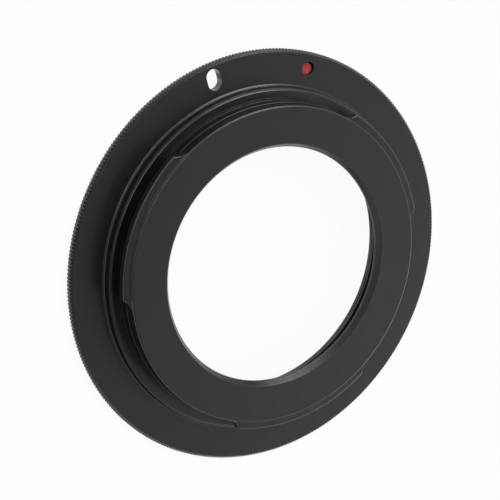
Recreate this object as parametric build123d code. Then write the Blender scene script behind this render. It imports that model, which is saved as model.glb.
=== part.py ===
from build123d import *
import math
import os

# Lens mount adapter: a turned aluminium ring that fits a screw-thread lens to a three-lug bayonet camera.
# It lies on its lens side: z = 0 is the lens seat and +Z runs along the optical axis to the camera.
# The index dot is at +Y. All sizes are millimetres and all angles are degrees from +X.

# Flange: its thickness is the lens register of 45.46 less the camera register of 44.00
FLANGE_THICKNESS = 1.46
FLANGE_LAND = 5.65
RIM_CHAMFER = 0.40

# Spigot that centres the ring in the camera's throat
THROAT_DIAMETER = 54.0
THROAT_CLEARANCE = 0.15
SPIGOT_HEIGHT = 1.54
SPIGOT_CHAMFER = 0.25
SPIGOT_FOOT_FILLET = 0.60

# Neck behind the lugs, which the camera's own lugs turn into
NECK_INSET = 1.77
NECK_HEIGHT = 1.60
NECK_FOOT_FILLET = 0.15

# Bayonet lugs, each from its start angle to its end angle, milled out of one turned collar
LUG_REACH = 1.02
LUG_THICKNESS = 1.40
LUG_ANGLES = ((27.6, 72.8), (148.0, 198.2), (270.4, 324.4))
LUG_ROOT_FILLET = 1.10
GAP_DEPTH_BELOW_NECK = 0.20
LUG_CHAMFER = 0.12

# Face ring that stands above the lugs
FACE_STEP = 0.40
FACE_CHAMFER = 0.20

# Lens thread, left at its minor diameter, with a plain lead-in and a relief groove behind it
THREAD_DIAMETER = 42.0
THREAD_PITCH = 1.0
LEAD_IN_DEPTH = 0.70
RELIEF_WIDTH = 0.60
RELIEF_DEPTH = 0.10

# Lip that presses the lens's aperture pin and lets the light through
LIP_REACH = 2.02
LIP_WALL = 0.40
LIP_CHAMFER_HEIGHT = 0.90
LIP_CHAMFER_WIDTH = 0.62

# Lock pin slot and index dimple, both a little outside the middle of the flange's land
MARK_OUTSET = 0.23
SLOT_ANGLE = 121.7
SLOT_LENGTH = 3.30
SLOT_WIDTH = 2.33
DIMPLE_ANGLE = 90.0
DIMPLE_DIAMETER = 2.10
DIMPLE_DEPTH = 0.65

# Enamel that fills the bottom of the dimple, shrunk a little from its wall as it dried
ENAMEL_THICKNESS = 0.22
ENAMEL_CROWN = 0.05
ENAMEL_SHRINK = 0.02

# Radii that follow from the sizes above
spigot_r = THROAT_DIAMETER / 2 - THROAT_CLEARANCE
flange_r = spigot_r + FLANGE_LAND
neck_r = spigot_r - NECK_INSET
lug_r = neck_r + LUG_REACH
ring_r = neck_r - GAP_DEPTH_BELOW_NECK
thread_major_r = THREAD_DIAMETER / 2
thread_height = THREAD_PITCH * math.sqrt(3) / 2
thread_minor_r = thread_major_r - thread_height * 5 / 8
relief_r = thread_major_r + RELIEF_DEPTH
lip_r = thread_minor_r - LIP_REACH

# Heights that follow from the sizes above
spigot_top = FLANGE_THICKNESS + SPIGOT_HEIGHT
lug_bottom = spigot_top + NECK_HEIGHT
lug_top = lug_bottom + LUG_THICKNESS
face_top = lug_top + FACE_STEP
lip_edge = face_top - LIP_CHAMFER_HEIGHT
lip_back = lip_edge - LIP_WALL
thread_end = lip_back - RELIEF_WIDTH
thread_start = LEAD_IN_DEPTH + thread_major_r - thread_minor_r

# Chamfers and fillets keep within their walls
rim_chamfer = min(RIM_CHAMFER, FLANGE_THICKNESS / 3)
face_chamfer = min(FACE_CHAMFER, FACE_STEP / 2)
spigot_fillet = min(SPIGOT_FOOT_FILLET, (SPIGOT_HEIGHT - SPIGOT_CHAMFER) / 2)
neck_fillet = min(NECK_FOOT_FILLET, (NECK_INSET - SPIGOT_CHAMFER) / 2, NECK_HEIGHT / 2)
root_fillet = min(LUG_ROOT_FILLET, 0.9 * (lug_r - ring_r))
mark_r = (spigot_r + spigot_fillet + flange_r - rim_chamfer) / 2 + MARK_OUTSET


def turned(points):
    """Solid turned about the Z axis from a closed outline of radius and height pairs."""
    return revolve(Plane.XZ * make_face(Polyline(*points, close=True)), axis=Axis.Z)


def turned_blank():
    """Outside of the ring as it leaves the lathe, with the lug collar whole and no bore."""
    outline = make_face(
        Polyline(
            (0, 0),
            (flange_r - rim_chamfer, 0),
            (flange_r, rim_chamfer),
            (flange_r, FLANGE_THICKNESS - rim_chamfer),
            (flange_r - rim_chamfer, FLANGE_THICKNESS),
            (spigot_r, FLANGE_THICKNESS),
            (spigot_r, spigot_top - SPIGOT_CHAMFER),
            (spigot_r - SPIGOT_CHAMFER, spigot_top),
            (neck_r, spigot_top),
            (neck_r, lug_bottom),
            (lug_r - LUG_CHAMFER, lug_bottom),
            (lug_r, lug_bottom + LUG_CHAMFER),
            (lug_r, lug_top - LUG_CHAMFER),
            (lug_r - LUG_CHAMFER, lug_top),
            (ring_r, lug_top),
            (ring_r, face_top - face_chamfer),
            (ring_r - face_chamfer, face_top),
            (0, face_top),
            close=True,
        )
    )
    for foot, radius in (((spigot_r, FLANGE_THICKNESS), spigot_fillet), ((neck_r, spigot_top), neck_fillet)):
        outline = fillet(outline.vertices().sort_by_distance(foot)[0], radius)
    return revolve(Plane.XZ * outline, axis=Axis.Z)


def bore():
    """Space inside the ring: lead-in, thread at its minor diameter, relief groove and chamfered lip."""
    return turned(
        (
            (0, 0),
            (thread_major_r, 0),
            (thread_major_r, LEAD_IN_DEPTH),
            (thread_minor_r, thread_start),
            (thread_minor_r, thread_end),
            (relief_r, thread_end),
            (relief_r, lip_back),
            (lip_r, lip_back),
            (lip_r, lip_edge),
            (lip_r + LIP_CHAMFER_WIDTH, face_top),
            (0, face_top),
        )
    )


def gap_cut(start, end):
    """Space milled between two lugs, with the cutter's radius left at both lug roots."""
    outer_r = lug_r + LUG_REACH
    inner = CenterArc((0, 0), ring_r, start, end - start)
    outer = CenterArc((0, 0), outer_r, start, end - start)
    outline = make_face([inner, Line(inner @ 1, outer @ 1), outer, Line(inner @ 0, outer @ 0)])
    roots = outline.vertices().filter_by(lambda v: math.hypot(v.X, v.Y) < (ring_r + outer_r) / 2)
    return Pos(0, 0, lug_bottom) * extrude(fillet(roots, root_fillet), face_top - lug_bottom)


def slot_cut():
    """Radial slot through the flange for the camera's lock pin."""
    outline = Rot(0, 0, SLOT_ANGLE) * Pos(mark_r, 0) * SlotOverall(SLOT_LENGTH, SLOT_WIDTH)
    return extrude(outline, FLANGE_THICKNESS)


def at_index():
    """Place of the index dimple's mouth on the flange."""
    return Rot(0, 0, DIMPLE_ANGLE) * Pos(mark_r, 0, FLANGE_THICKNESS)


def dimple_cut():
    """Flat-bottomed dimple that takes the index enamel."""
    return at_index() * extrude(Circle(DIMPLE_DIAMETER / 2), -DIMPLE_DEPTH)


def adapter_ring():
    """The whole ring: the turned blank, bored, with its lug gaps, slot and dimple cut."""
    ring = turned_blank() - bore()
    for index, (_, gap_start) in enumerate(LUG_ANGLES):
        gap_end = LUG_ANGLES[(index + 1) % len(LUG_ANGLES)][0]
        ring -= gap_cut(gap_start, gap_start + (gap_end - gap_start) % 360)
    return ring - slot_cut() - dimple_cut()


def index_dot():
    """Red enamel on the dimple's floor, crowned a little in the middle."""
    radius = DIMPLE_DIAMETER / 2 - ENAMEL_SHRINK
    edge = ENAMEL_THICKNESS - ENAMEL_CROWN
    sides = Polyline((0, ENAMEL_THICKNESS), (0, 0), (radius, 0), (radius, edge))
    crown = TangentArc((0, ENAMEL_THICKNESS), (radius, edge), tangent=(1, 0))
    section = make_face(sides + crown)
    return at_index() * Pos(0, 0, -DIMPLE_DEPTH) * revolve(Plane.XZ * section, axis=Axis.Z)


os.makedirs("parts", exist_ok=True)
export_step(adapter_ring(), "parts/adapter_ring.step")
export_step(index_dot(), "parts/index_dot.step")
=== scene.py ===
import cmath
import logging
import math
from dataclasses import dataclass, field
from enum import Enum
from typing import Any, Sequence

import bmesh
import bpy
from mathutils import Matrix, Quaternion, Vector


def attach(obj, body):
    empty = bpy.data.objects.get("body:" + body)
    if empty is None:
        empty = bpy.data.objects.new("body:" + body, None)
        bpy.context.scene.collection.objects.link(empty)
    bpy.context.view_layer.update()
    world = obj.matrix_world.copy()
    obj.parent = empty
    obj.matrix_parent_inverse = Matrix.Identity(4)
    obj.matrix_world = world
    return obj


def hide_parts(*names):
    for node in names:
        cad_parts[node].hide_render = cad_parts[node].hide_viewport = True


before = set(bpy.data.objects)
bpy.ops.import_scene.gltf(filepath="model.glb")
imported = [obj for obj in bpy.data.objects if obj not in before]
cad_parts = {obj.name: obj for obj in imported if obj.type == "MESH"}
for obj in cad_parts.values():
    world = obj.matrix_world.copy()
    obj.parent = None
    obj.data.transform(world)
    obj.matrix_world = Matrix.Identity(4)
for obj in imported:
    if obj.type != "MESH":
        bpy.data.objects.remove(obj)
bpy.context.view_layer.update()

# Sizes are millimetres and angles are degrees from +X until a mesh or a lamp is made.
MM = 0.001
BODY = "root"

# Points that agree to this are one vertex.
WELD = 1e-6
# Widest step between two points of the collar's arcs.
ARC_STEP = 0.5
# Length of the straight that leads into or out of a section, which only gives it a direction.
RUN_OUT = 1.0
# Smooth faces share a normal where they turn by less than this.
SHARP_TURN = math.radians(40.0)
# A face whose normals turn by more than this belongs to a rounded edge, and the mark says so.
ROUNDED_TURN = math.radians(5.0)
EDGE_MARK = "rounded_edge"

# Shares of the pitch that the crest, each flank and the root of the lens thread take.
THREAD_CREST, THREAD_FLANK, THREAD_ROOT = 1 / 4, 5 / 16, 1 / 8
# Range in which nearly all noise lies.
NOISE_LOW, NOISE_HIGH = 0.3, 0.7

# Points of a rounded right-angled edge: share of the rounding still to go out, and share gone up.
BENDS = [math.radians(bend) for bend in (0, 30, 60, 90)]
QUARTER = [(1 - math.sin(bend), 1 - math.cos(bend)) for bend in BENDS]

Pair = tuple[float, float]
Colour = tuple[float, float, float, float]
Socket = bpy.types.NodeSocket
Loop = list[bmesh.types.BMVert]

log = logging.getLogger("lens_mount_adapter")


class Slot(Enum):
    """Material slots of the part's record."""

    BLACK_ANODISED = "black_anodised"
    RED_ENAMEL = "red_enamel"


class Node(Enum):
    """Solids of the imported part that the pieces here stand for."""

    RING = "adapter_ring"
    DOT = "index_dot"


class Shade(Enum):
    """How a surface takes the light: rolled over its edges, or facet by facet."""

    SMOOTH = True
    FLAT = False


def polar(radius: float, angle: float) -> complex:
    """Point at a radius and an angle in degrees, with x as its real and y as its imaginary part."""
    return cmath.rect(radius, math.radians(angle))


def bearing(spot: complex) -> float:
    """Angle of a point from +X, in degrees."""
    return math.degrees(cmath.phase(spot))


def even_angles(count: int) -> list[float]:
    """Angles of a number of evenly spaced points round the axis, from 0."""
    return [360 * index / count for index in range(count)]


def clamped(value: float, low: float = 0.0, high: float = 1.0) -> float:
    """Value, kept between a low end and a high end."""
    return min(max(value, low), high)


def direction(azimuth: float, elevation: float) -> Vector:
    """Direction in which a lamp or a camera stands.

    Args:
        azimuth: Angle from +X, in degrees.
        elevation: Angle above the horizon, in degrees.

    Returns:
        The direction, one unit long.
    """
    rise = math.radians(elevation)
    flat = polar(math.cos(rise), azimuth)
    return Vector((flat.real, flat.imag, math.sin(rise)))


def add_object(name: str, data: bpy.types.ID) -> bpy.types.Object:
    """Puts a mesh, a lamp or a camera in the scene.

    Args:
        name: Name of the object.
        data: The mesh, the lamp or the camera.

    Returns:
        The object.
    """
    made = bpy.data.objects.new(name, data)
    bpy.context.scene.collection.objects.link(made)
    return made


@dataclass(frozen=True)
class Corner:
    """Corner of a turned section.

    Attributes:
        radius: Distance from the axis.
        height: Height above the lens seat.
        rounding: Radius that breaks or fills the corner.
        steps: Flats that make up the rounding.
    """

    radius: float
    height: float
    rounding: float = 0.0
    steps: int = 2


def rounded(corners: Sequence[Corner]) -> list[Pair]:
    """Cuts the roundings into a section. Its first and last corner stay sharp.

    Args:
        corners: The section's corners in order.

    Returns:
        Radius and height of each point of the rounded section.
    """
    spots = [complex(corner.radius, corner.height) for corner in corners]
    points = [spots[0]]
    for before, here, after, corner in zip(spots, spots[1:], spots[2:], corners[1:]):
        if corner.rounding == 0:
            points.append(here)
            continue
        back, on = (before - here) / abs(before - here), (after - here) / abs(after - here)
        half = abs(cmath.phase(on / back)) / 2
        reach = corner.rounding / math.tan(half)
        centre = here + (back + on) / abs(back + on) * corner.rounding / math.sin(half)
        first = here + back * reach - centre
        sweep = bearing((here + on * reach - centre) / first)
        turns = [sweep * step / corner.steps for step in range(corner.steps + 1)]
        points += [centre + first * polar(1, turn) for turn in turns]
    points.append(spots[-1])
    return [(point.real, point.imag) for point in points]


class LoopMesh:
    """Closed mesh sewn from loops of points. Points that fall together are one vertex."""

    def __init__(self) -> None:
        """Starts an empty mesh."""
        self.bm = bmesh.new()
        self._verts: dict[tuple[int, int, int], bmesh.types.BMVert] = {}
        self._flats: set[bmesh.types.BMFace] = set()
        self._sheen: dict[bmesh.types.BMFace, float] = {}

    def point(self, spot: complex, height: float) -> bmesh.types.BMVert:
        """Gives the vertex at a place, made once.

        Args:
            spot: Place seen along the axis.
            height: Height above the lens seat.

        Returns:
            The vertex.
        """
        key = (round(spot.real / WELD), round(spot.imag / WELD), round(height / WELD))
        if key not in self._verts:
            self._verts[key] = self.bm.verts.new((spot.real * MM, spot.imag * MM, height * MM))
        return self._verts[key]

    def circle(self, radius: float, height: float, angles: Sequence[float]) -> Loop:
        """Makes a loop round the axis, with a point at each of the angles."""
        return [self.point(polar(radius, angle), height) for angle in angles]

    def turn(self, section: Sequence[Pair], angles: Sequence[float]) -> list[Loop]:
        """Turns a section about the axis and skins it.

        Args:
            section: Radius and height pairs.
            angles: Angles of the points of each loop.

        Returns:
            One loop for each point of the section.
        """
        loops = [self.circle(radius, height, angles) for radius, height in section]
        self.skin(loops)
        return loops

    def skin(self, loops: Sequence[Loop], shade: Shade = Shade.SMOOTH, sheen: float = 0.0) -> None:
        """Joins each loop to the next with a strip of faces.

        Args:
            loops: Loops with the same number of points.
            shade: How the strips take the light.
            sheen: Share of a rounded edge's sheen that the strips have.
        """
        for lower, upper in zip(loops, loops[1:]):
            for index in range(len(lower)):
                self.face((lower[index - 1], lower[index], upper[index], upper[index - 1]), shade, sheen)

    def face(
        self, corners: Sequence[bmesh.types.BMVert], shade: Shade = Shade.SMOOTH, sheen: float = 0.0
    ) -> None:
        """Makes a face, or a smaller one where corners fall together, or none.

        Args:
            corners: The face's vertices in order.
            shade: How the face takes the light.
            sheen: Share of a rounded edge's sheen that the face has.
        """
        kept = [vert for index, vert in enumerate(corners) if vert is not corners[index - 1]]
        if len(kept) > 2 and len(set(kept)) == len(kept):
            made = self.bm.faces.new(kept)
            made.smooth = shade.value
            self._sheen[made] = sheen

    def fill(self, *loops: Loop) -> None:
        """Fills the flat surface between loops that lie in one plane.

        Args:
            loops: The outer loop and the loops of its holes.
        """
        edges = []
        for loop in loops:
            for index, vert in enumerate(loop):
                pair = (loop[index - 1], vert)
                if pair[0] is not vert:
                    edges.append(self.bm.edges.get(pair) or self.bm.edges.new(pair))
        made = bmesh.ops.triangle_fill(self.bm, use_beauty=True, use_dissolve=False, edges=edges)
        for item in made["geom"]:
            if isinstance(item, bmesh.types.BMFace):
                item.smooth = True
                self._flats.add(item)

    def corner_normals(self) -> list[list[Vector]]:
        """Works out the normal at each corner of each face.

        Returns:
            The normals, face by face. A flat keeps its own right up to its rounded edges, and the other
            smooth faces share theirs, by area, with the neighbours that they turn into gently.
        """
        gentle = math.cos(SHARP_TURN)
        areas = {face: face.calc_area() for face in self.bm.faces}
        normals = []
        for face in self.bm.faces:
            corners = []
            for vert in face.verts:
                shared = face.normal.copy()
                if face.smooth:
                    smooth = [other for other in vert.link_faces if other.smooth]
                    near = [other for other in smooth if other.normal.dot(shared) > gentle]
                    near = [other for other in near if other in self._flats] or near
                    shared = sum((other.normal * areas[other] for other in near), Vector()).normalized()
                corners.append(shared)
            normals.append(corners)
        return normals

    def finish(self, name: str) -> bpy.types.Object:
        """Turns the faces outwards and makes the mesh an object of the scene.

        Args:
            name: Name of the object and its mesh.

        Returns:
            The object.
        """
        bmesh.ops.recalc_face_normals(self.bm, faces=self.bm.faces[:])
        mesh = bpy.data.meshes.new(name)
        self.bm.to_mesh(mesh)
        normals = self.corner_normals()
        sheens = [self._sheen.get(face, 0.0) for face in self.bm.faces]
        self.bm.free()
        mesh.normals_split_custom_set([normal for corners in normals for normal in corners])
        bent = math.cos(ROUNDED_TURN)
        turns = [min(corners[0].dot(normal) for normal in corners) for corners in normals]
        marks = [1.0 if turn < bent else sheen for sheen, turn in zip(sheens, turns)]
        mesh.attributes.new(EDGE_MARK, "FLOAT", "FACE").data.foreach_set("value", marks)
        return add_object(name, mesh)


class Nodes:
    """Nodes of one material or world."""

    def __init__(self, tree: bpy.types.NodeTree) -> None:
        """Empties the tree.

        Args:
            tree: Node tree to fill.
        """
        self.tree = tree
        tree.nodes.clear()

    def add(self, kind: str, inputs: dict[str, Any] | None = None, **settings: Any) -> bpy.types.Node:
        """Adds a node and sets or links its inputs.

        Args:
            kind: Blender's type name of the node.
            inputs: Value of each named input, or the output socket that feeds it.
            settings: Properties of the node itself.

        Returns:
            The node.
        """
        node = self.tree.nodes.new(kind)
        for name, value in settings.items():
            setattr(node, name, value)
        for name, value in (inputs or {}).items():
            socket = node.inputs[int(name)] if name.isdigit() else node.inputs[name]
            if isinstance(value, Socket):
                self.tree.links.new(value, socket)
            else:
                socket.default_value = value
        return node

    def math(self, operation: str, first: Any, second: Any = 0.0) -> Socket:
        """Adds an operation on one or two values, each of them a number or a socket."""
        return self.add("ShaderNodeMath", {"0": first, "1": second}, operation=operation).outputs[0]

    def blend(self, factor: Socket, low: Colour, high: Colour) -> Socket:
        """Adds a colour that runs between two others.

        Args:
            factor: Socket of some noise.
            low: Colour at the noise's low end.
            high: Colour at its high end.

        Returns:
            The colour's socket.
        """
        ramp = self.add("ShaderNodeValToRGB", {"Fac": factor})
        first, last = ramp.color_ramp.elements
        first.position, first.color = NOISE_LOW, low
        last.position, last.color = NOISE_HIGH, high
        return ramp.outputs["Color"]

    def span(self, value: Socket, low: float, high: float) -> Socket:
        """Adds a number that runs between two others from the low end to the high end of some noise."""
        ends = {"From Min": NOISE_LOW, "From Max": NOISE_HIGH, "To Min": low, "To Max": high}
        return self.add("ShaderNodeMapRange", {"Value": value, **ends}).outputs["Result"]

    def mix(self, factor: Socket, low: Any, high: Any) -> Socket:
        """Adds a number that goes from one number or socket to another as the factor goes from 0 to 1."""
        return self.add("ShaderNodeMix", {"Factor": factor, "2": low, "3": high}).outputs[0]

    def noise(self, place: Socket, scale: float, detail: float = 2.0) -> Socket:
        """Adds noise, with so many features in each metre and so many octaves of finer noise."""
        inputs = {"Vector": place, "Scale": scale, "Detail": detail}
        return self.add("ShaderNodeTexNoise", inputs).outputs["Fac"]


@dataclass(frozen=True)
class BlackAnodised:
    """Blasted aluminium with a sealed black oxide: nearly no colour of its own, and a soft, even gloss.

    Attributes:
        deep: Colour where the dye is full.
        thin: Colour where it is a little thinner.
        smooth: Least roughness.
        rough: Most roughness.
        grain: Blasting pits in each metre.
        grain_depth: Depth of the pits, in metres.
        turning: Tool marks in each metre of radius.
        turning_depth: Depth of the tool marks, in metres.
        gloss: Specular level of the plain faces.
        edge_smooth: Least roughness of the rounded edges, which handling has burnished.
        edge_rough: Most roughness of the rounded edges.
        edge_gloss: Specular level of the rounded edges.
        wear_and_highlight: Colour of the rounded edges, lighter where wear has thinned the oxide and
            lighter also as a painted highlight that brightens the edge lines.
        least_wear_and_highlight: Share of that lightening where there is least.
        dye_patches: Patches of thinner dye in each metre.
        gloss_patches: Patches of other roughness in each metre.
        wear_and_highlight_patches: Patches of that wear and painted-highlight lightening in each metre.
        ior: Refractive index of the sealed oxide.
    """

    deep: Colour = (0.0022, 0.0022, 0.0024, 1.0)
    thin: Colour = (0.0036, 0.0036, 0.0038, 1.0)
    smooth: float = 0.39
    rough: float = 0.45
    grain: float = 7000.0
    grain_depth: float = 1.2e-6
    turning: float = 5200.0
    turning_depth: float = 0.5e-6
    gloss: float = 0.5
    edge_smooth: float = 0.16
    edge_rough: float = 0.24
    edge_gloss: float = 0.9
    # Lighter colour of the rounded edges: partly edge wear, partly a painted highlight on the edge lines.
    wear_and_highlight: Colour = (0.012, 0.012, 0.012, 1.0)
    least_wear_and_highlight: float = 0.2
    dye_patches: float = 240.0
    gloss_patches: float = 900.0
    wear_and_highlight_patches: float = 1600.0
    ior: float = 1.5

    def material(self) -> bpy.types.Material:
        """Makes the finish.

        Returns:
            The material.
        """
        made = bpy.data.materials.new(Slot.BLACK_ANODISED.value)
        made.use_nodes = True
        nodes = Nodes(made.node_tree)
        place = nodes.add("ShaderNodeTexCoord").outputs["Object"]
        flattened = {"0": place, "1": (1.0, 1.0, 0.0)}
        across = nodes.add("ShaderNodeVectorMath", flattened, operation="MULTIPLY").outputs[0]
        radius = nodes.add("ShaderNodeVectorMath", {"0": across}, operation="LENGTH").outputs["Value"]
        marks = nodes.add(
            "ShaderNodeTexNoise",
            {"W": radius, "Scale": self.turning, "Detail": 1.0},
            noise_dimensions="1D",
        ).outputs["Fac"]
        pits = nodes.add(
            "ShaderNodeBump",
            {"Height": nodes.noise(place, self.grain), "Distance": self.grain_depth},
        )
        turned = nodes.add(
            "ShaderNodeBump",
            {"Height": marks, "Distance": self.turning_depth, "Normal": pits.outputs["Normal"]},
        )
        edge = nodes.add("ShaderNodeAttribute", attribute_name=EDGE_MARK).outputs["Fac"]
        uneven = nodes.noise(place, self.gloss_patches, detail=3.0)
        plain_roughness = nodes.span(uneven, self.smooth, self.rough)
        edge_roughness = nodes.span(uneven, self.edge_smooth, self.edge_rough)
        wear_and_highlight_share = nodes.span(nodes.noise(place, self.wear_and_highlight_patches, detail=3.0), self.least_wear_and_highlight, 1.0)
        dye = nodes.noise(place, self.dye_patches, detail=4.0)
        # Faces with the rounded-edge mark, and in part the knurl's teeth and the bore's chamfer, are
        # lightened in patches: partly edge wear, partly a painted highlight that brightens the edge
        # lines.
        colour = nodes.add(
            "ShaderNodeMix",
            {
                "Factor": nodes.math("MULTIPLY", edge, wear_and_highlight_share),
                "6": nodes.blend(dye, self.deep, self.thin),
                "7": self.wear_and_highlight,
            },
            data_type="RGBA",
        )
        shader = nodes.add(
            "ShaderNodeBsdfPrincipled",
            {
                "Base Color": colour.outputs[2],
                "Roughness": nodes.mix(edge, plain_roughness, edge_roughness),
                "Specular IOR Level": nodes.mix(edge, self.gloss, self.edge_gloss),
                "Normal": turned.outputs["Normal"],
                "Metallic": 0.0,
                "IOR": self.ior,
            },
        )
        nodes.add("ShaderNodeOutputMaterial", {"Surface": shader.outputs["BSDF"]})
        return made


@dataclass(frozen=True)
class RedEnamel:
    """Brushed-in red enamel: glossy, a little uneven, darker where it is thick.

    Attributes:
        deep: Colour where the enamel is thick.
        thin: Colour where it is thin.
        smooth: Least roughness.
        rough: Most roughness.
        ripple: Brush ripples in each metre.
        ripple_depth: Depth of the ripples, in metres.
        gloss_patches: Patches of other roughness in each metre.
        ior: Refractive index of the enamel.
    """

    deep: Colour = (0.44, 0.020, 0.024, 1.0)
    thin: Colour = (0.62, 0.045, 0.050, 1.0)
    smooth: float = 0.22
    rough: float = 0.34
    ripple: float = 1500.0
    ripple_depth: float = 2.5e-5
    gloss_patches: float = 4000.0
    ior: float = 1.5

    def material(self) -> bpy.types.Material:
        """Makes the finish.

        Returns:
            The material.
        """
        made = bpy.data.materials.new(Slot.RED_ENAMEL.value)
        made.use_nodes = True
        nodes = Nodes(made.node_tree)
        place = nodes.add("ShaderNodeTexCoord").outputs["Object"]
        uneven = nodes.noise(place, self.ripple)
        ripples = nodes.add("ShaderNodeBump", {"Height": uneven, "Distance": self.ripple_depth})
        shader = nodes.add(
            "ShaderNodeBsdfPrincipled",
            {
                "Base Color": nodes.blend(uneven, self.deep, self.thin),
                "Roughness": nodes.span(nodes.noise(place, self.gloss_patches), self.smooth, self.rough),
                "Normal": ripples.outputs["Normal"],
                "Metallic": 0.0,
                "IOR": self.ior,
            },
        )
        nodes.add("ShaderNodeOutputMaterial", {"Surface": shader.outputs["BSDF"]})
        return made


@dataclass(frozen=True)
class KnurledFlange:
    """Flat flange with a straight knurl round its rim.

    Attributes:
        radius: Radius over the knurl's crests.
        thickness: Thickness of the flange.
        chamfer: Width of the chamfer on both edges of the rim, which the grooves run out on.
        chamfer_height: Height of that chamfer.
        edge_break: Rounding between the chamfers and the flange's flats.
        teeth: Number of teeth in the knurl.
        groove_depth: Depth of the grooves.
        root_share: Share of a tooth's pitch that the groove's floor takes.
        crest_share: Share of a tooth's pitch that its flat crest takes.
        sheen: Share of a rounded edge's sheen that the teeth have.
    """

    radius: float = 32.5
    thickness: float = 1.46
    chamfer: float = 0.40
    chamfer_height: float = 0.40
    edge_break: float = 0.07
    teeth: int = 350
    groove_depth: float = 0.21
    root_share: float = 0.24
    crest_share: float = 0.30
    sheen: float = 0.6

    def knurl(self) -> list[Pair]:
        """Works out the rim as it is seen along the axis.

        Returns:
            Radius and angle of each point, four to a tooth.
        """
        pitch = 360 / self.teeth
        root, crest = self.root_share * pitch / 2, self.crest_share * pitch / 2
        low = self.radius - self.groove_depth
        points: list[Pair] = []
        for tooth in range(self.teeth):
            groove = tooth * pitch
            top = groove + pitch / 2
            points += [(low, groove - root), (low, groove + root)]
            points += [(self.radius, top - crest), (self.radius, top + crest)]
        return points

    def build(self, mesh: LoopMesh) -> tuple[Loop, Loop]:
        """Makes the rim.

        Args:
            mesh: Mesh to build in.

        Returns:
            The rim's edge on the lens side and its edge on the camera side.
        """
        points = self.knurl()
        inner = self.radius - self.chamfer
        slope = self.chamfer_height / self.chamfer
        angles = [angle for _, angle in points]
        edge = rounded(
            (
                Corner(inner - RUN_OUT, 0.0),
                Corner(inner, 0.0, self.edge_break, steps=3),
                Corner(self.radius, self.chamfer_height),
            )
        )[1:-1]
        lens_side = mesh.turn(edge, angles)
        rises = [(radius - inner) * slope for radius, _ in points]
        lower = [mesh.point(polar(*point), rise) for point, rise in zip(points, rises)]
        upper = [mesh.point(polar(*point), self.thickness - rise) for point, rise in zip(points, rises)]
        camera_side = mesh.turn([(radius, self.thickness - height) for radius, height in edge], angles)
        mesh.skin((lens_side[-1], lower, upper, camera_side[-1]), Shade.FLAT, self.sheen)
        return lens_side[0], camera_side[0]


@dataclass(frozen=True)
class LockPinSlot:
    """Radial slot through the flange for the camera's lock pin.

    Attributes:
        angle: Place round the ring.
        radius: Distance of its middle from the axis.
        length: Size along the radius.
        width: Size across the radius.
        edge_break: Rounding of its edges.
        end_points: Points in each round end.
    """

    angle: float = 121.7
    radius: float = 30.005
    length: float = 3.30
    width: float = 2.33
    edge_break: float = 0.03
    end_points: int = 25

    def outline(self, spare: float) -> list[complex]:
        """Works out the slot as it is seen along the axis.

        Args:
            spare: Distance outside the slot's wall.

        Returns:
            The outline's points.
        """
        end = self.width / 2 + spare
        straight = (self.length - self.width) / 2
        bends = [180 * index / (self.end_points - 1) - 90 for index in range(self.end_points)]
        half = [straight + polar(end, bend) for bend in bends]
        return [(self.radius + spot) * polar(1, self.angle) for spot in half + [-spot for spot in half]]

    def build(self, mesh: LoopMesh, thickness: float) -> tuple[Loop, Loop]:
        """Makes the slot's walls.

        Args:
            mesh: Mesh to build in.
            thickness: Thickness of the flange.

        Returns:
            The slot's edge on the lens side and its edge on the camera side.
        """
        levels = [(self.edge_break * out, self.edge_break * up) for out, up in QUARTER]
        levels += [(spare, thickness - height) for spare, height in reversed(levels)]
        loops = [[mesh.point(spot, height) for spot in self.outline(spare)] for spare, height in levels]
        mesh.skin(loops)
        return loops[0], loops[-1]


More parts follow.
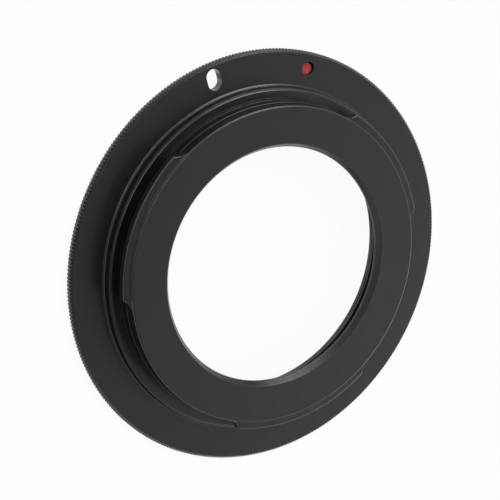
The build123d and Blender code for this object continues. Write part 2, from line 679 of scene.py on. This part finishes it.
@dataclass(frozen=True)
class IndexDimple:
    """Flat-bottomed dimple in the flange, and the enamel in it.

    Attributes:
        angle: Place round the ring.
        place: Distance of its middle from the axis.
        radius: Radius of its wall.
        depth: Depth below the flange.
        edge_break: Rounding of its edge.
        points: Points round it.
        enamel_radius: Radius of the enamel.
        enamel_pull: Distance by which the enamel dried off the dimple's middle.
        enamel_side: Direction in which it did.
        enamel_edge: Thickness of the enamel at its edge.
        enamel_rim: Width and height of the bevel round that edge.
        enamel_crown: Rise of the enamel in the middle.
        crown_rings: Share of the enamel's radius at which each ring of its crown lies.
    """

    angle: float = 90.0
    place: float = 30.005
    radius: float = 1.05
    depth: float = 0.65
    edge_break: float = 0.06
    points: int = 64
    enamel_radius: float = 0.90
    enamel_pull: float = 0.11
    enamel_side: float = 287.0
    enamel_edge: float = 0.17
    enamel_rim: Pair = (0.02, 0.03)
    enamel_crown: float = 0.05
    crown_rings: tuple[float, ...] = (0.85, 0.65, 0.45, 0.25, 0.1)

    def loop(self, mesh: LoopMesh, radius: float, height: float, shift: complex = 0j) -> Loop:
        """Makes a circle about the dimple's middle, or about a point shifted from it."""
        middle = polar(self.place, self.angle) + shift
        return [mesh.point(middle + polar(radius, angle), height) for angle in even_angles(self.points)]

    def build(self, mesh: LoopMesh, top: float) -> Loop:
        """Makes the dimple's wall and floor.

        Args:
            mesh: Mesh to build in.
            top: Height of the flange's face.

        Returns:
            The dimple's mouth.
        """
        edge = self.edge_break
        levels = [(self.radius + edge * out, top - edge * up) for out, up in QUARTER]
        levels.append((self.radius, top - self.depth))
        loops = [self.loop(mesh, radius, height) for radius, height in levels]
        mesh.skin(loops)
        mesh.fill(loops[-1])
        return loops[0]

    def build_enamel(self, top: float, finish: RedEnamel) -> bpy.types.Object:
        """Makes the enamel, which lies on the dimple's floor.

        Args:
            top: Height of the flange's face.
            finish: Finish of the enamel.

        Returns:
            The enamel's object.
        """
        mesh = LoopMesh()
        floor = top - self.depth
        edge = floor + self.enamel_edge
        rim_width, rim_height = self.enamel_rim
        levels = [
            (self.enamel_radius, floor),
            (self.enamel_radius, edge - rim_height),
            (self.enamel_radius - rim_width, edge),
        ]
        for share in self.crown_rings:
            levels.append((self.enamel_radius * share, edge + self.enamel_crown * (1 - share * share)))
        shift = polar(self.enamel_pull, self.enamel_side)
        loops = [self.loop(mesh, radius, height, shift) for radius, height in levels]
        mesh.skin(loops)
        mesh.fill(loops[0])
        mesh.fill(loops[-1])
        piece = mesh.finish("index_enamel")
        piece.data.materials.append(finish.material())
        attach(piece, BODY)
        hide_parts(Node.DOT.value)
        return piece


@dataclass(frozen=True)
class Spigot:
    """Turned step that centres the ring in the camera's throat.

    Attributes:
        radius: Radius of the spigot.
        foot: Height of its foot, which is the flange's face.
        top: Height of its top.
        chamfer: Chamfer at its top edge.
        foot_flare: Distance by which its wall flares out at the foot.
        flare_top: Height up to which it flares.
        foot_fillet: Fillet at its foot.
        edge_break: Rounding of the chamfer's outer edge.
        ledge: Width of the fine ledge that the tool left at the chamfer's outer edge.
        ledge_slope: How many times as wide as high the ledge is.
        shoulder_break: Rounding of the chamfer's inner edge.
        points: Points round it.
    """

    radius: float = 26.85
    foot: float = 1.46
    top: float = 3.00
    chamfer: float = 0.25
    foot_flare: float = 0.16
    flare_top: float = 2.20
    foot_fillet: float = 0.40
    edge_break: float = 0.02
    ledge: float = 0.05
    ledge_slope: float = 3.0
    shoulder_break: float = 0.34
    points: int = 720

    def build(self, mesh: LoopMesh) -> tuple[Loop, Loop]:
        """Makes the spigot's wall.

        Args:
            mesh: Mesh to build in.

        Returns:
            The edge at the flange and the edge at the spigot's top.
        """
        flare, shoulder = self.radius + self.foot_flare, self.radius - self.chamfer
        edge = self.top - self.chamfer
        section = rounded(
            (
                Corner(flare + RUN_OUT, self.foot),
                Corner(flare, self.foot, self.foot_fillet, steps=8),
                Corner(self.radius, self.flare_top, self.foot_fillet),
                Corner(self.radius, edge, self.edge_break),
                Corner(self.radius - self.ledge, edge + self.ledge / self.ledge_slope, self.edge_break),
                Corner(shoulder, self.top, self.shoulder_break, steps=4),
                Corner(shoulder - RUN_OUT, self.top),
            )
        )
        loops = mesh.turn(section[1:-1], even_angles(self.points))
        return loops[0], loops[-1]


@dataclass(frozen=True)
class Bayonet:
    """Neck and three-lug collar, milled back to the face ring between the lugs.

    Attributes:
        neck_radius: Radius of the neck under the lugs.
        neck_foot: Height of the neck's foot.
        foot_fillet: Fillet at the neck's foot.
        tool_line: Radius of the fine line that the grooving tool left on the shoulder.
        tool_step: Height of the step at that line.
        lug_radius: Radius of the lugs.
        ring_radius: Radius of the face ring, and of the gaps between the lugs.
        lug_bottom: Height of the lugs' undersides.
        lug_top: Height of the lugs' tops.
        face_top: Height of the face ring.
        lugs: Start angle and end angle of each lug.
        cutter: Radius of the cutter that milled the lugs' ends.
        corner: Rounding of the lugs' corners, seen along the axis.
        edge_break: Rounding of the lugs' lower edges.
        top_break: Rounding of the lugs' upper edges.
        ledge_break: Rounding of the neck's top edge between the lugs.
        face_break: Rounding of the face's outer edge.
        step_fillet: Fillet at the foot of the step from the lugs up to the face.
        root_steps: Steps of a lug's end inside the neck's radius.
        tip_steps: Steps of a lug's end from there to its corner.
        corner_steps: Steps of the corner's rounding.
    """

    neck_radius: float = 25.08
    neck_foot: float = 3.00
    foot_fillet: float = 0.05
    tool_line: float = 25.43
    tool_step: float = 0.03
    lug_radius: float = 26.10
    ring_radius: float = 24.88
    lug_bottom: float = 4.60
    lug_top: float = 6.00
    face_top: float = 6.40
    lugs: tuple[Pair, ...] = ((27.6, 72.8), (148.0, 199.0), (271.2, 324.4))
    cutter: float = 3.0
    corner: float = 0.12
    edge_break: float = 0.12
    top_break: float = 0.22
    ledge_break: float = 0.07
    face_break: float = 0.24
    step_fillet: float = 0.14
    root_steps: int = 6
    tip_steps: int = 8
    corner_steps: int = 4

    def flank(self) -> list[Pair]:
        """Works out a lug's end, from the gap's arc to the lug's arc, as if the lug began at angle 0.

        Returns:
            Radius and angle of each point. One of them lies on the neck's radius.
        """
        reach = self.ring_radius + self.cutter
        tip = self.lug_radius - self.corner
        crossing, end = self.sweep(self.neck_radius), self.sweep(tip)
        sweeps = [crossing * step / self.root_steps for step in range(self.root_steps)]
        onward = range(self.tip_steps + 1)
        sweeps += [crossing + (end - crossing) * step / self.tip_steps for step in onward]
        back = math.acos((reach**2 + tip**2 - self.cutter**2) / (2 * reach * tip))
        middle = cmath.rect(reach, -back)
        spots = [middle - cmath.rect(self.cutter, cmath.phase(middle) - sweep) for sweep in sweeps]
        first, knee = spots[-1], complex(self.lug_radius, 0.0)
        last = knee * cmath.rect(1.0, self.corner / self.lug_radius)
        for step in range(1, self.corner_steps + 1):
            share = step / self.corner_steps
            rest = 1 - share
            spots.append(first * rest**2 + knee * 2 * share * rest + last * share**2)
        return [(abs(spot), bearing(spot)) for spot in spots]

    def sweep(self, radius: float) -> float:
        """Angle, in radians, by which the cutter's edge runs on from the gap's arc up to a radius."""
        reach = self.ring_radius + self.cutter
        return math.acos((reach**2 + self.cutter**2 - radius**2) / (2 * reach * self.cutter))

    def outline(self) -> list[Pair]:
        """Works out the collar as it is seen along the axis.

        Returns:
            Radius and angle of each point, anticlockwise.
        """
        flank = self.flank()
        points: list[Pair] = []
        for index, (start, end) in enumerate(self.lugs):
            following = self.lugs[(index + 1) % len(self.lugs)][0]
            gap_end = end + (following - end) % 360
            points += [(radius, start + angle) for radius, angle in flank]
            points += self.arc(self.lug_radius, start + flank[-1][1], end - flank[-1][1])
            points += [(radius, end - angle) for radius, angle in reversed(flank)]
            points += self.arc(self.ring_radius, end - flank[0][1], gap_end + flank[0][1])
        return points

    @staticmethod
    def arc(radius: float, start: float, end: float) -> list[Pair]:
        """Works out the radius and angle of each point between an arc's two ends."""
        steps = math.ceil((end - start) / ARC_STEP)
        return [(radius, start + (end - start) * step / steps) for step in range(1, steps)]

    def share(self, radius: float) -> float:
        """Share of the lugs' edge break at a radius: none at the neck, all of it at the lugs' edge."""
        return clamped((radius - self.neck_radius) / (self.lug_radius - self.neck_radius))

    def ledge(self, radius: float) -> float:
        """Rounding of the neck's top edge at a radius: none under the lugs, all of it in the gaps."""
        share = clamped((self.neck_radius - radius) / (self.neck_radius - self.ring_radius))
        return self.ledge_break * share

    def edge_loop(
        self, mesh: LoopMesh, walls: Sequence[complex], inset: float, height: float, rise: float
    ) -> Loop:
        """Makes one loop of the lugs' rounded edge.

        Args:
            mesh: Mesh to build in.
            walls: The outline's points.
            inset: Distance of the loop inside the outline at the lugs' edge.
            height: Height of the lugs' face.
            rise: Distance of the loop above that face at the lugs' edge.

        Returns:
            The loop's vertices.
        """
        loop = []
        for index, spot in enumerate(walls):
            along = walls[(index + 1) % len(walls)] - walls[index - 1]
            inwards = 1j * along / abs(along)
            share = self.share(abs(spot))
            loop.append(mesh.point(spot + inwards * share * inset, height + share * rise))
        return loop

    def build(self, mesh: LoopMesh) -> tuple[Loop, Loop]:
        """Makes the neck, the lugs and the step up to the face.

        Args:
            mesh: Mesh to build in.

        Returns:
            The neck's foot and the outer edge of the face.
        """
        outline = self.outline()
        angles = [angle for _, angle in outline]
        walls = [polar(radius, angle) for radius, angle in outline]
        ledges = [self.ledge(radius) for radius, _ in outline]
        foot, step = self.foot_fillet, self.tool_step
        floor = self.neck_foot + step
        levels = [
            (self.tool_line + step * (1 - out), self.neck_foot + step * (1 - up))
            for out, up in reversed(QUARTER)
        ]
        levels += [(self.neck_radius + foot * out, floor + foot * up) for out, up in QUARTER]
        loops = [mesh.circle(radius, height, angles) for radius, height in levels]
        for out, up in reversed(QUARTER):
            spots = [polar(self.neck_radius - cut * out, angle) for cut, angle in zip(ledges, angles)]
            heights = [self.lug_bottom - cut * up for cut in ledges]
            loops.append([mesh.point(spot, height) for spot, height in zip(spots, heights)])
        low, high = self.edge_break, self.top_break
        for out, up in QUARTER:
            loops.append(self.edge_loop(mesh, walls, low * out, self.lug_bottom, low * up))
        for out, up in reversed(QUARTER):
            loops.append(self.edge_loop(mesh, walls, high * out, self.lug_top, -high * up))
        room = [max(radius - high * self.share(radius) - self.ring_radius, 0.0) for radius, _ in outline]
        fillets = [min(self.step_fillet, spare) for spare in room]
        for out, up in QUARTER:
            spots = [polar(self.ring_radius + fill * out, angle) for fill, angle in zip(fillets, angles)]
            heights = [self.lug_top + fill * up for fill in fillets]
            loops.append([mesh.point(spot, height) for spot, height in zip(spots, heights)])
        edge = self.face_break
        for out, up in reversed(QUARTER):
            loops.append(mesh.circle(self.ring_radius - edge * out, self.face_top - edge * up, angles))
        mesh.skin(loops)
        return loops[0], loops[-1]


@dataclass(frozen=True)
class LensBore:
    """Chamfered lip, relief groove and screw thread of the lens's side.

    Attributes:
        face_top: Height of the face ring.
        chamfer_radius: Radius of the lip's chamfer at the face.
        lip_radius: Radius of the opening.
        lip_edge: Height of the lip's edge.
        lip_back: Height of the lip's back.
        relief_radius: Radius of the relief groove.
        thread_end: Height where the thread runs into the groove.
        thread_major: Radius of the thread's roots.
        thread_minor: Radius of the thread's crests.
        pitch: Thread pitch.
        lead_in: Depth of the plain lead-in.
        thread_turn: Angle at which the thread begins.
        edge_break: Rounding of the edges.
        lip_break: Rounding of the lip's edge.
        sheen: Share of a rounded edge's sheen that the turned chamfer has.
        points: Points round it.
    """

    face_top: float = 6.40
    chamfer_radius: float = 19.06
    lip_radius: float = 18.44
    lip_edge: float = 5.50
    lip_back: float = 5.10
    relief_radius: float = 21.10
    thread_end: float = 4.50
    thread_major: float = 21.00
    thread_minor: float = 20.459
    pitch: float = 1.0
    lead_in: float = 0.70
    thread_turn: float = 15.0
    edge_break: float = 0.08
    lip_break: float = 0.25
    sheen: float = 0.5
    points: int = 720

    def thread_radius(self, height: float, lift: float) -> float:
        """Radius of the threaded wall at one place.

        Args:
            height: Height above the lens seat.
            lift: How far the helix has risen here.

        Returns:
            The radius, cut back by the countersink at the thread's start.
        """
        share = ((height - lift) / self.pitch) % 1.0
        rise = clamped(min(share - THREAD_CREST, 1 - share) / THREAD_FLANK)
        countersink = self.thread_major - max(height - self.lead_in, 0.0)
        return max(self.thread_minor + (self.thread_major - self.thread_minor) * rise, countersink)

    def thread(self, mesh: LoopMesh) -> tuple[Loop, Loop]:
        """Makes the helical thread.

        Args:
            mesh: Mesh to build in.

        Returns:
            The thread's end at the relief groove and its start at the lead-in.
        """
        turns = math.ceil((self.thread_end - self.lead_in) / self.pitch) + 1
        root = THREAD_CREST + THREAD_FLANK
        bends = (0, THREAD_CREST, root, root + THREAD_ROOT)
        knots = [turn + bend for turn in range(turns) for bend in bends]
        knots.append(turns)
        rows: list[Loop] = [[] for _ in knots]
        for column in range(self.points + 1):
            lift = self.pitch * column / self.points
            angle = self.thread_turn + 360 * column / self.points
            for row, knot in zip(rows, knots):
                height = self.lead_in + self.pitch * (knot - 1) + lift
                height = clamped(height, self.lead_in, self.thread_end)
                radius = self.thread_radius(height, lift + self.lead_in)
                row.append(mesh.point(polar(radius, angle), height))
        for lower, upper in zip(rows, rows[1:]):
            for index in range(self.points):
                mesh.face((lower[index], lower[index + 1], upper[index + 1], upper[index]))
        shift = round(self.points * self.thread_turn / 360)
        end, start = rows[-1][:-1], rows[0][:-1]
        return end[-shift:] + end[:-shift], start[-shift:] + start[:-shift]

    def build(self, mesh: LoopMesh) -> tuple[Loop, Loop]:
        """Makes the bore.

        Args:
            mesh: Mesh to build in.

        Returns:
            The inner edge of the face and the edge of the lens seat.
        """
        edge = self.edge_break
        angles = even_angles(self.points)
        lip = rounded(
            (
                Corner(self.chamfer_radius + RUN_OUT, self.face_top),
                Corner(self.chamfer_radius, self.face_top, edge),
                Corner(self.lip_radius, self.lip_edge, self.lip_break),
                Corner(self.lip_radius, self.lip_back, edge, steps=3),
                Corner(self.relief_radius, self.lip_back, edge, steps=3),
                Corner(self.relief_radius, self.thread_end),
            )
        )
        # The face's edge is the first three points, and the chamfer lies between it and the lip.
        loops = mesh.turn(lip[1:4], angles)
        loops += mesh.turn(lip[4:], angles)
        mesh.skin(loops[2:4], sheen=self.sheen)
        end, start = self.thread(mesh)
        mesh.skin((loops[-1], end))
        seat_edge = [(self.thread_major + edge * out, edge * up) for out, up in reversed(QUARTER)]
        seat = mesh.turn(seat_edge, angles)
        mesh.skin((start, seat[0]))
        return loops[0], seat[-1]


@dataclass(frozen=True)
class AdapterRing:
    """The whole ring, one turned and milled piece.

    Attributes:
        flange: Its flange and knurl.
        slot: Its lock pin slot.
        dimple: Its index dimple.
        spigot: Its spigot.
        bayonet: Its neck and lugs.
        bore: Its bore and lens thread.
    """

    flange: KnurledFlange = field(default_factory=KnurledFlange)
    slot: LockPinSlot = field(default_factory=LockPinSlot)
    dimple: IndexDimple = field(default_factory=IndexDimple)
    spigot: Spigot = field(default_factory=Spigot)
    bayonet: Bayonet = field(default_factory=Bayonet)
    bore: LensBore = field(default_factory=LensBore)

    def build(self, finish: BlackAnodised) -> bpy.types.Object:
        """Makes the ring and dresses it.

        Args:
            finish: Finish of the ring.

        Returns:
            The ring's object.
        """
        mesh = LoopMesh()
        lens_rim, camera_rim = self.flange.build(mesh)
        lens_slot, camera_slot = self.slot.build(mesh, self.flange.thickness)
        mouth = self.dimple.build(mesh, self.flange.thickness)
        foot, shoulder = self.spigot.build(mesh)
        neck, face_edge = self.bayonet.build(mesh)
        bore_edge, seat = self.bore.build(mesh)
        mesh.fill(camera_rim, foot, camera_slot, mouth)
        mesh.fill(lens_rim, seat, lens_slot)
        mesh.fill(shoulder, neck)
        mesh.fill(face_edge, bore_edge)
        piece = mesh.finish("ring_body")
        piece.data.materials.append(finish.material())
        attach(piece, BODY)
        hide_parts(Node.RING.value)
        return piece


@dataclass(frozen=True)
class SoftBox:
    """Soft box that faces the ring.

    Attributes:
        name: Name of the lamp.
        azimuth: Direction of the lamp, in degrees from +X.
        elevation: Height of the lamp above the horizon, in degrees.
        width: Width of the lamp, in metres.
        height: Height of the lamp, in metres.
        strength: Brightness of its front, where 1 is white.
        distance: Distance of the lamp, in metres.
    """

    name: str
    azimuth: float
    elevation: float
    width: float
    height: float
    strength: float
    distance: float = 1.0

    def build(self) -> bpy.types.Object:
        """Makes the lamp.

        Returns:
            The lamp's object.
        """
        lamp = bpy.data.lights.new(self.name, "AREA")
        lamp.shape = "RECTANGLE"
        lamp.size, lamp.size_y = self.width, self.height
        lamp.energy = self.strength * math.pi * self.width * self.height
        holder = add_object(self.name, lamp)
        towards = direction(self.azimuth, self.elevation)
        holder.location = towards * self.distance
        holder.rotation_euler = towards.to_track_quat("Z", "Y").to_euler()
        return holder


@dataclass(frozen=True)
class Studio:
    """White floor, white surround and the soft boxes.

    Attributes:
        floor_size: Side of the floor, in metres.
        floor_drop: Depth of the floor below the lens seat, so that the two don't fall together.
        floor_glow: Share of the floor's white that the object's shadow doesn't reach.
        floor_colour: Colour of the floor where light falls on it.
        sweep_top: Elevation up to which the surround is as white as the floor, in degrees.
        ceiling_start: Elevation from which it is as dim as the ceiling, in degrees.
        ceiling: Brightness of the ceiling, where 1 is white.
        lean: Share by which the ceiling is brighter on its bright side and dimmer on the other.
        bright_side: Direction of the bright side.
        soft_boxes: The soft boxes, the key first.
    """

    floor_size: float = 3.0
    floor_drop: float = 0.02
    floor_glow: float = 0.95
    floor_colour: Colour = (0.8, 0.8, 0.8, 1.0)
    sweep_top: float = 5.0
    ceiling_start: float = 24.0
    ceiling: float = 0.30
    lean: float = 0.5
    bright_side: float = 60.0
    soft_boxes: tuple[SoftBox, ...] = (
        SoftBox("key_box", azimuth=70.0, elevation=49.0, width=0.50, height=0.42, strength=4.5),
        SoftBox("low_box", azimuth=95.0, elevation=4.0, width=0.90, height=0.14, strength=5.0),
        SoftBox("side_box", azimuth=345.0, elevation=31.0, width=0.50, height=0.96, strength=1.45),
        SoftBox("near_box", azimuth=140.0, elevation=70.0, width=0.60, height=0.30, strength=1.8),
    )

    @staticmethod
    def seen(nodes: Nodes) -> Socket:
        """Tells the rays that show the background from the rays that carry light.

        Args:
            nodes: Nodes of the floor or the world.

        Returns:
            Socket that is 1 for a camera ray, a reflected ray or a ray through glass.
        """
        path = nodes.add("ShaderNodeLightPath").outputs
        shown = nodes.math("MAXIMUM", path["Is Camera Ray"], path["Is Glossy Ray"])
        return nodes.math("MAXIMUM", shown, path["Is Transmission Ray"])

    def build_floor(self) -> bpy.types.Object:
        """Makes the floor, which shows white and keeps the object's shadow.

        Returns:
            The floor's object.
        """
        mesh = bpy.data.meshes.new("floor")
        half = self.floor_size / 2
        sides = ((-half, -half), (half, -half), (half, half), (-half, half))
        corners = [(x, y, -self.floor_drop * MM) for x, y in sides]
        mesh.from_pydata(corners, [], [(0, 1, 2, 3)])
        floor = add_object("floor", mesh)
        made = bpy.data.materials.new("studio_white")
        made.use_nodes = True
        nodes = Nodes(made.node_tree)
        shade = 1 - self.floor_glow
        plain = nodes.add("ShaderNodeBsdfDiffuse", {"Color": self.floor_colour})
        faint = nodes.add("ShaderNodeBsdfDiffuse", {"Color": (shade, shade, shade, 1.0)})
        glow = nodes.add("ShaderNodeEmission", {"Strength": self.floor_glow})
        shown = nodes.add("ShaderNodeAddShader", {"0": faint.outputs[0], "1": glow.outputs[0]})
        mix = nodes.add(
            "ShaderNodeMixShader",
            {"0": self.seen(nodes), "1": plain.outputs[0], "2": shown.outputs[0]},
        )
        nodes.add("ShaderNodeOutputMaterial", {"Surface": mix.outputs[0]})
        mesh.materials.append(made)
        return floor

    def build_surround(self) -> bpy.types.World:
        """Makes the surround, a white sweep at the horizon that runs up to a dimmer ceiling.

        Returns:
            The world.
        """
        world = bpy.data.worlds.new("surround")
        world.use_nodes = True
        nodes = Nodes(world.node_tree)
        way = nodes.add("ShaderNodeTexCoord").outputs["Generated"]
        rise = nodes.math("ARCSINE", nodes.add("ShaderNodeSeparateXYZ", {"0": way}).outputs["Z"])
        up = nodes.add(
            "ShaderNodeMapRange",
            {
                "Value": rise,
                "From Min": math.radians(self.sweep_top),
                "From Max": math.radians(self.ceiling_start),
            },
            interpolation_type="SMOOTHSTEP",
        ).outputs["Result"]
        side = polar(self.lean, self.bright_side)
        lit = nodes.add(
            "ShaderNodeVectorMath",
            {"0": way, "1": (side.real, side.imag, 0.0)},
            operation="DOT_PRODUCT",
        ).outputs["Value"]
        ceiling = nodes.math("MULTIPLY", nodes.math("ADD", lit, 1.0), self.ceiling)
        change = nodes.math("MULTIPLY", up, nodes.math("SUBTRACT", ceiling, 1.0))
        strength = nodes.math("ADD", change, 1.0)
        light = nodes.add("ShaderNodeBackground", {"Color": (1.0, 1.0, 1.0, 1.0), "Strength": strength})
        nodes.add("ShaderNodeOutputWorld", {"Surface": light.outputs[0]})
        bpy.context.scene.world = world
        return world


@dataclass(frozen=True)
class ProductCamera:
    """Camera that looks down on the ring from its camera side.

    Attributes:
        target: Point in the middle of the picture.
        azimuth: Direction of the camera from the target.
        elevation: Height of the camera above the horizon, in degrees.
        distance: Distance of the camera from the target.
        roll: Turn of the camera about its line of sight.
        lens: Focal length.
        sensor: Width of the sensor.
        clip: Nearest and farthest distance that is shown, in metres.
    """

    target: tuple[float, float, float] = (-3.4994, 1.3617, 3.2)
    azimuth: float = 165.2
    elevation: float = 55.3867
    distance: float = 309.3926
    roll: float = 116.214
    lens: float = 146.4622
    sensor: float = 36.0
    clip: Pair = (0.01, 20.0)

    def build(self) -> bpy.types.Object:
        """Makes the camera and gives it to the scene.

        Returns:
            The camera's object.
        """
        data = bpy.data.cameras.new("product_camera")
        data.lens = self.lens
        data.sensor_width = self.sensor
        data.clip_start, data.clip_end = self.clip
        camera = add_object("product_camera", data)
        towards = direction(self.azimuth, self.elevation)
        camera.location = (Vector(self.target) + towards * self.distance) * MM
        camera.rotation_mode = "QUATERNION"
        level = (-towards).to_track_quat("-Z", "Y")
        camera.rotation_quaternion = level @ Quaternion((0.0, 0.0, 1.0), math.radians(self.roll))
        bpy.context.scene.camera = camera
        return camera


def report(piece: bpy.types.Object) -> None:
    """Logs a piece and its size."""
    size = [round(side / MM, 2) for side in piece.dimensions]
    log.info("%s: %d faces, %s mm", piece.name, len(piece.data.polygons), size)


def main() -> None:
    """Builds the part and its studio."""
    logging.basicConfig(level=logging.INFO, format="%(name)s: %(message)s")
    bpy.context.scene.view_settings.view_transform = "Standard"
    ring = AdapterRing()
    report(ring.build(BlackAnodised()))
    report(ring.dimple.build_enamel(ring.flange.thickness, RedEnamel()))
    studio = Studio()
    stage = [studio.build_floor(), studio.build_surround(), ProductCamera().build()]
    stage += [soft_box.build() for soft_box in studio.soft_boxes]
    log.info("studio: %s", ", ".join(item.name for item in stage))
    bpy.context.view_layer.update()


if __name__ == "__main__":
    main()
